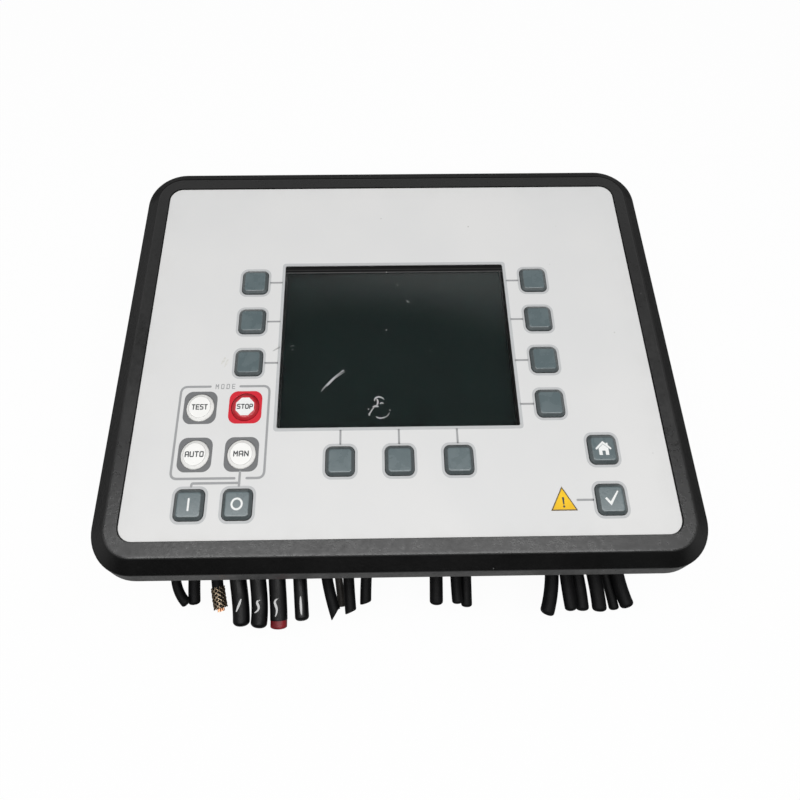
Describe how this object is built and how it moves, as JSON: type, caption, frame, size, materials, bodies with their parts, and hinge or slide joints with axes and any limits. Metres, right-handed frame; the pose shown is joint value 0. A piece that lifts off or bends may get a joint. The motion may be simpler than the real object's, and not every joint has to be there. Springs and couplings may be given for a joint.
{
  "type": "genset controller",
  "caption": "Panel-mounted genset controller with a chamfered black bezel, light keypad overlay, dark display, push keys and a stepped rear housing with pluggable terminals and wire stubs.",
  "frame": {"origin": "centre of the rear face, with the wire stubs left out", "axes": "+X to the right of the front, +Y to its top edge, +Z out of the front"},
  "size_m": [0.282, 0.2354, 0.099],
  "materials": {
    "bezel": "fine grained black moulding",
    "overlay": "satin light grey film",
    "pane": "clear scratched pane",
    "amber": "amber lamp lens",
    "sheet_metal": "plain sheet",
    "display": "dark display glass",
    "key_grey": "satin blue grey",
    "key_white": "satin white",
    "key_red": "satin red",
    "mat": "silicone rubber",
    "board": "solder resist",
    "screw": "zinc plated",
    "relay": "moulded",
    "connector": "moulded",
    "ribbon": "flat cable",
    "housing": "fine grained black moulding",
    "seal": "foam rubber",
    "brass": "turned",
    "terminal": "moulded green",
    "tin": "tinned",
    "wire": "black insulation"
  },
  "bodies": {
    "housing": {"front_bezel": "bezel", "front_overlay": "overlay", "display_window": "pane", "alarm_lens": "amber", "lcd_frame": "sheet_metal", "lcd_panel": "display", "key_mat": "mat", "keypad_board": "board", "keypad_screws": "screw", "main_board": "board", "main_board_screws": "screw", "relays": "relay", "board_connectors": "connector", "ribbon_cable": "ribbon", "rear_housing": "housing", "housing_screws": "screw", "panel_gasket": "seal", "threaded_inserts": "brass", "terminal_headers": "terminal", "terminal_plugs": "terminal", "terminal_screws": "screw", "earth_tab": "tin", "wire_01": "wire", "wire_02": "wire", "wire_03": "wire", "wire_04": "wire", "wire_05": "wire", "wire_06": "wire", "wire_07": "wire", "wire_08": "wire", "wire_09": "wire", "wire_10": "wire", "wire_11": "wire", "wire_12": "wire", "wire_13": "wire", "wire_14": "wire", "wire_15": "wire", "wire_16": "wire", "wire_17": "wire", "wire_18": "wire", "wire_19": "wire", "wire_20": "wire"},
    "key_left_1": {"key_left_1": "key_grey"},
    "key_left_2": {"key_left_2": "key_grey"},
    "key_left_3": {"key_left_3": "key_grey"},
    "key_right_1": {"key_right_1": "key_grey"},
    "key_right_2": {"key_right_2": "key_grey"},
    "key_right_3": {"key_right_3": "key_grey"},
    "key_right_4": {"key_right_4": "key_grey"},
    "key_bottom_1": {"key_bottom_1": "key_grey"},
    "key_bottom_2": {"key_bottom_2": "key_grey"},
    "key_bottom_3": {"key_bottom_3": "key_grey"},
    "key_home": {"key_home": "key_grey"},
    "key_check": {"key_check": "key_grey"},
    "key_close": {"key_close": "key_grey"},
    "key_open": {"key_open": "key_grey"},
    "key_test": {"key_test": "key_white"},
    "key_stop": {"key_stop": "key_red"},
    "key_auto": {"key_auto": "key_white"},
    "key_manual": {"key_manual": "key_white"}
  },
  "joints": [
    {"name": "key_left_1_press", "type": "slide", "parent": "housing", "child": "key_left_1", "axis": [0, 0, -1], "range_m": [0, 0.0008], "stiffness_N_per_m": 400, "springref_m": -0.0005, "deforming": ["key_mat"]},
    {"name": "key_left_2_press", "type": "slide", "parent": "housing", "child": "key_left_2", "axis": [0, 0, -1], "range_m": [0, 0.0008], "stiffness_N_per_m": 400, "springref_m": -0.0005, "deforming": ["key_mat"]},
    {"name": "key_left_3_press", "type": "slide", "parent": "housing", "child": "key_left_3", "axis": [0, 0, -1], "range_m": [0, 0.0008], "stiffness_N_per_m": 400, "springref_m": -0.0005, "deforming": ["key_mat"]},
    {"name": "key_right_1_press", "type": "slide", "parent": "housing", "child": "key_right_1", "axis": [0, 0, -1], "range_m": [0, 0.0008], "stiffness_N_per_m": 400, "springref_m": -0.0005, "deforming": ["key_mat"]},
    {"name": "key_right_2_press", "type": "slide", "parent": "housing", "child": "key_right_2", "axis": [0, 0, -1], "range_m": [0, 0.0008], "stiffness_N_per_m": 400, "springref_m": -0.0005, "deforming": ["key_mat"]},
    {"name": "key_right_3_press", "type": "slide", "parent": "housing", "child": "key_right_3", "axis": [0, 0, -1], "range_m": [0, 0.0008], "stiffness_N_per_m": 400, "springref_m": -0.0005, "deforming": ["key_mat"]},
    {"name": "key_right_4_press", "type": "slide", "parent": "housing", "child": "key_right_4", "axis": [0, 0, -1], "range_m": [0, 0.0008], "stiffness_N_per_m": 400, "springref_m": -0.0005, "deforming": ["key_mat"]},
    {"name": "key_bottom_1_press", "type": "slide", "parent": "housing", "child": "key_bottom_1", "axis": [0, 0, -1], "range_m": [0, 0.0008], "stiffness_N_per_m": 400, "springref_m": -0.0005, "deforming": ["key_mat"]},
    {"name": "key_bottom_2_press", "type": "slide", "parent": "housing", "child": "key_bottom_2", "axis": [0, 0, -1], "range_m": [0, 0.0008], "stiffness_N_per_m": 400, "springref_m": -0.0005, "deforming": ["key_mat"]},
    {"name": "key_bottom_3_press", "type": "slide", "parent": "housing", "child": "key_bottom_3", "axis": [0, 0, -1], "range_m": [0, 0.0008], "stiffness_N_per_m": 400, "springref_m": -0.0005, "deforming": ["key_mat"]},
    {"name": "key_home_press", "type": "slide", "parent": "housing", "child": "key_home", "axis": [0, 0, -1], "range_m": [0, 0.0008], "stiffness_N_per_m": 400, "springref_m": -0.0005, "deforming": ["key_mat"]},
    {"name": "key_check_press", "type": "slide", "parent": "housing", "child": "key_check", "axis": [0, 0, -1], "range_m": [0, 0.0008], "stiffness_N_per_m": 400, "springref_m": -0.0005, "deforming": ["key_mat"]},
    {"name": "key_close_press", "type": "slide", "parent": "housing", "child": "key_close", "axis": [0, 0, -1], "range_m": [0, 0.0008], "stiffness_N_per_m": 400, "springref_m": -0.0005, "deforming": ["key_mat"]},
    {"name": "key_open_press", "type": "slide", "parent": "housing", "child": "key_open", "axis": [0, 0, -1], "range_m": [0, 0.0008], "stiffness_N_per_m": 400, "springref_m": -0.0005, "deforming": ["key_mat"]},
    {"name": "key_test_press", "type": "slide", "parent": "housing", "child": "key_test", "axis": [0, 0, -1], "range_m": [0, 0.0008], "stiffness_N_per_m": 400, "springref_m": -0.0005, "deforming": ["key_mat"]},
    {"name": "key_stop_press", "type": "slide", "parent": "housing", "child": "key_stop", "axis": [0, 0, -1], "range_m": [0, 0.0008], "stiffness_N_per_m": 400, "springref_m": -0.0005, "deforming": ["key_mat"]},
    {"name": "key_auto_press", "type": "slide", "parent": "housing", "child": "key_auto", "axis": [0, 0, -1], "range_m": [0, 0.0008], "stiffness_N_per_m": 400, "springref_m": -0.0005, "deforming": ["key_mat"]},
    {"name": "key_manual_press", "type": "slide", "parent": "housing", "child": "key_manual", "axis": [0, 0, -1], "range_m": [0, 0.0008], "stiffness_N_per_m": 400, "springref_m": -0.0005, "deforming": ["key_mat"]}
  ]
}
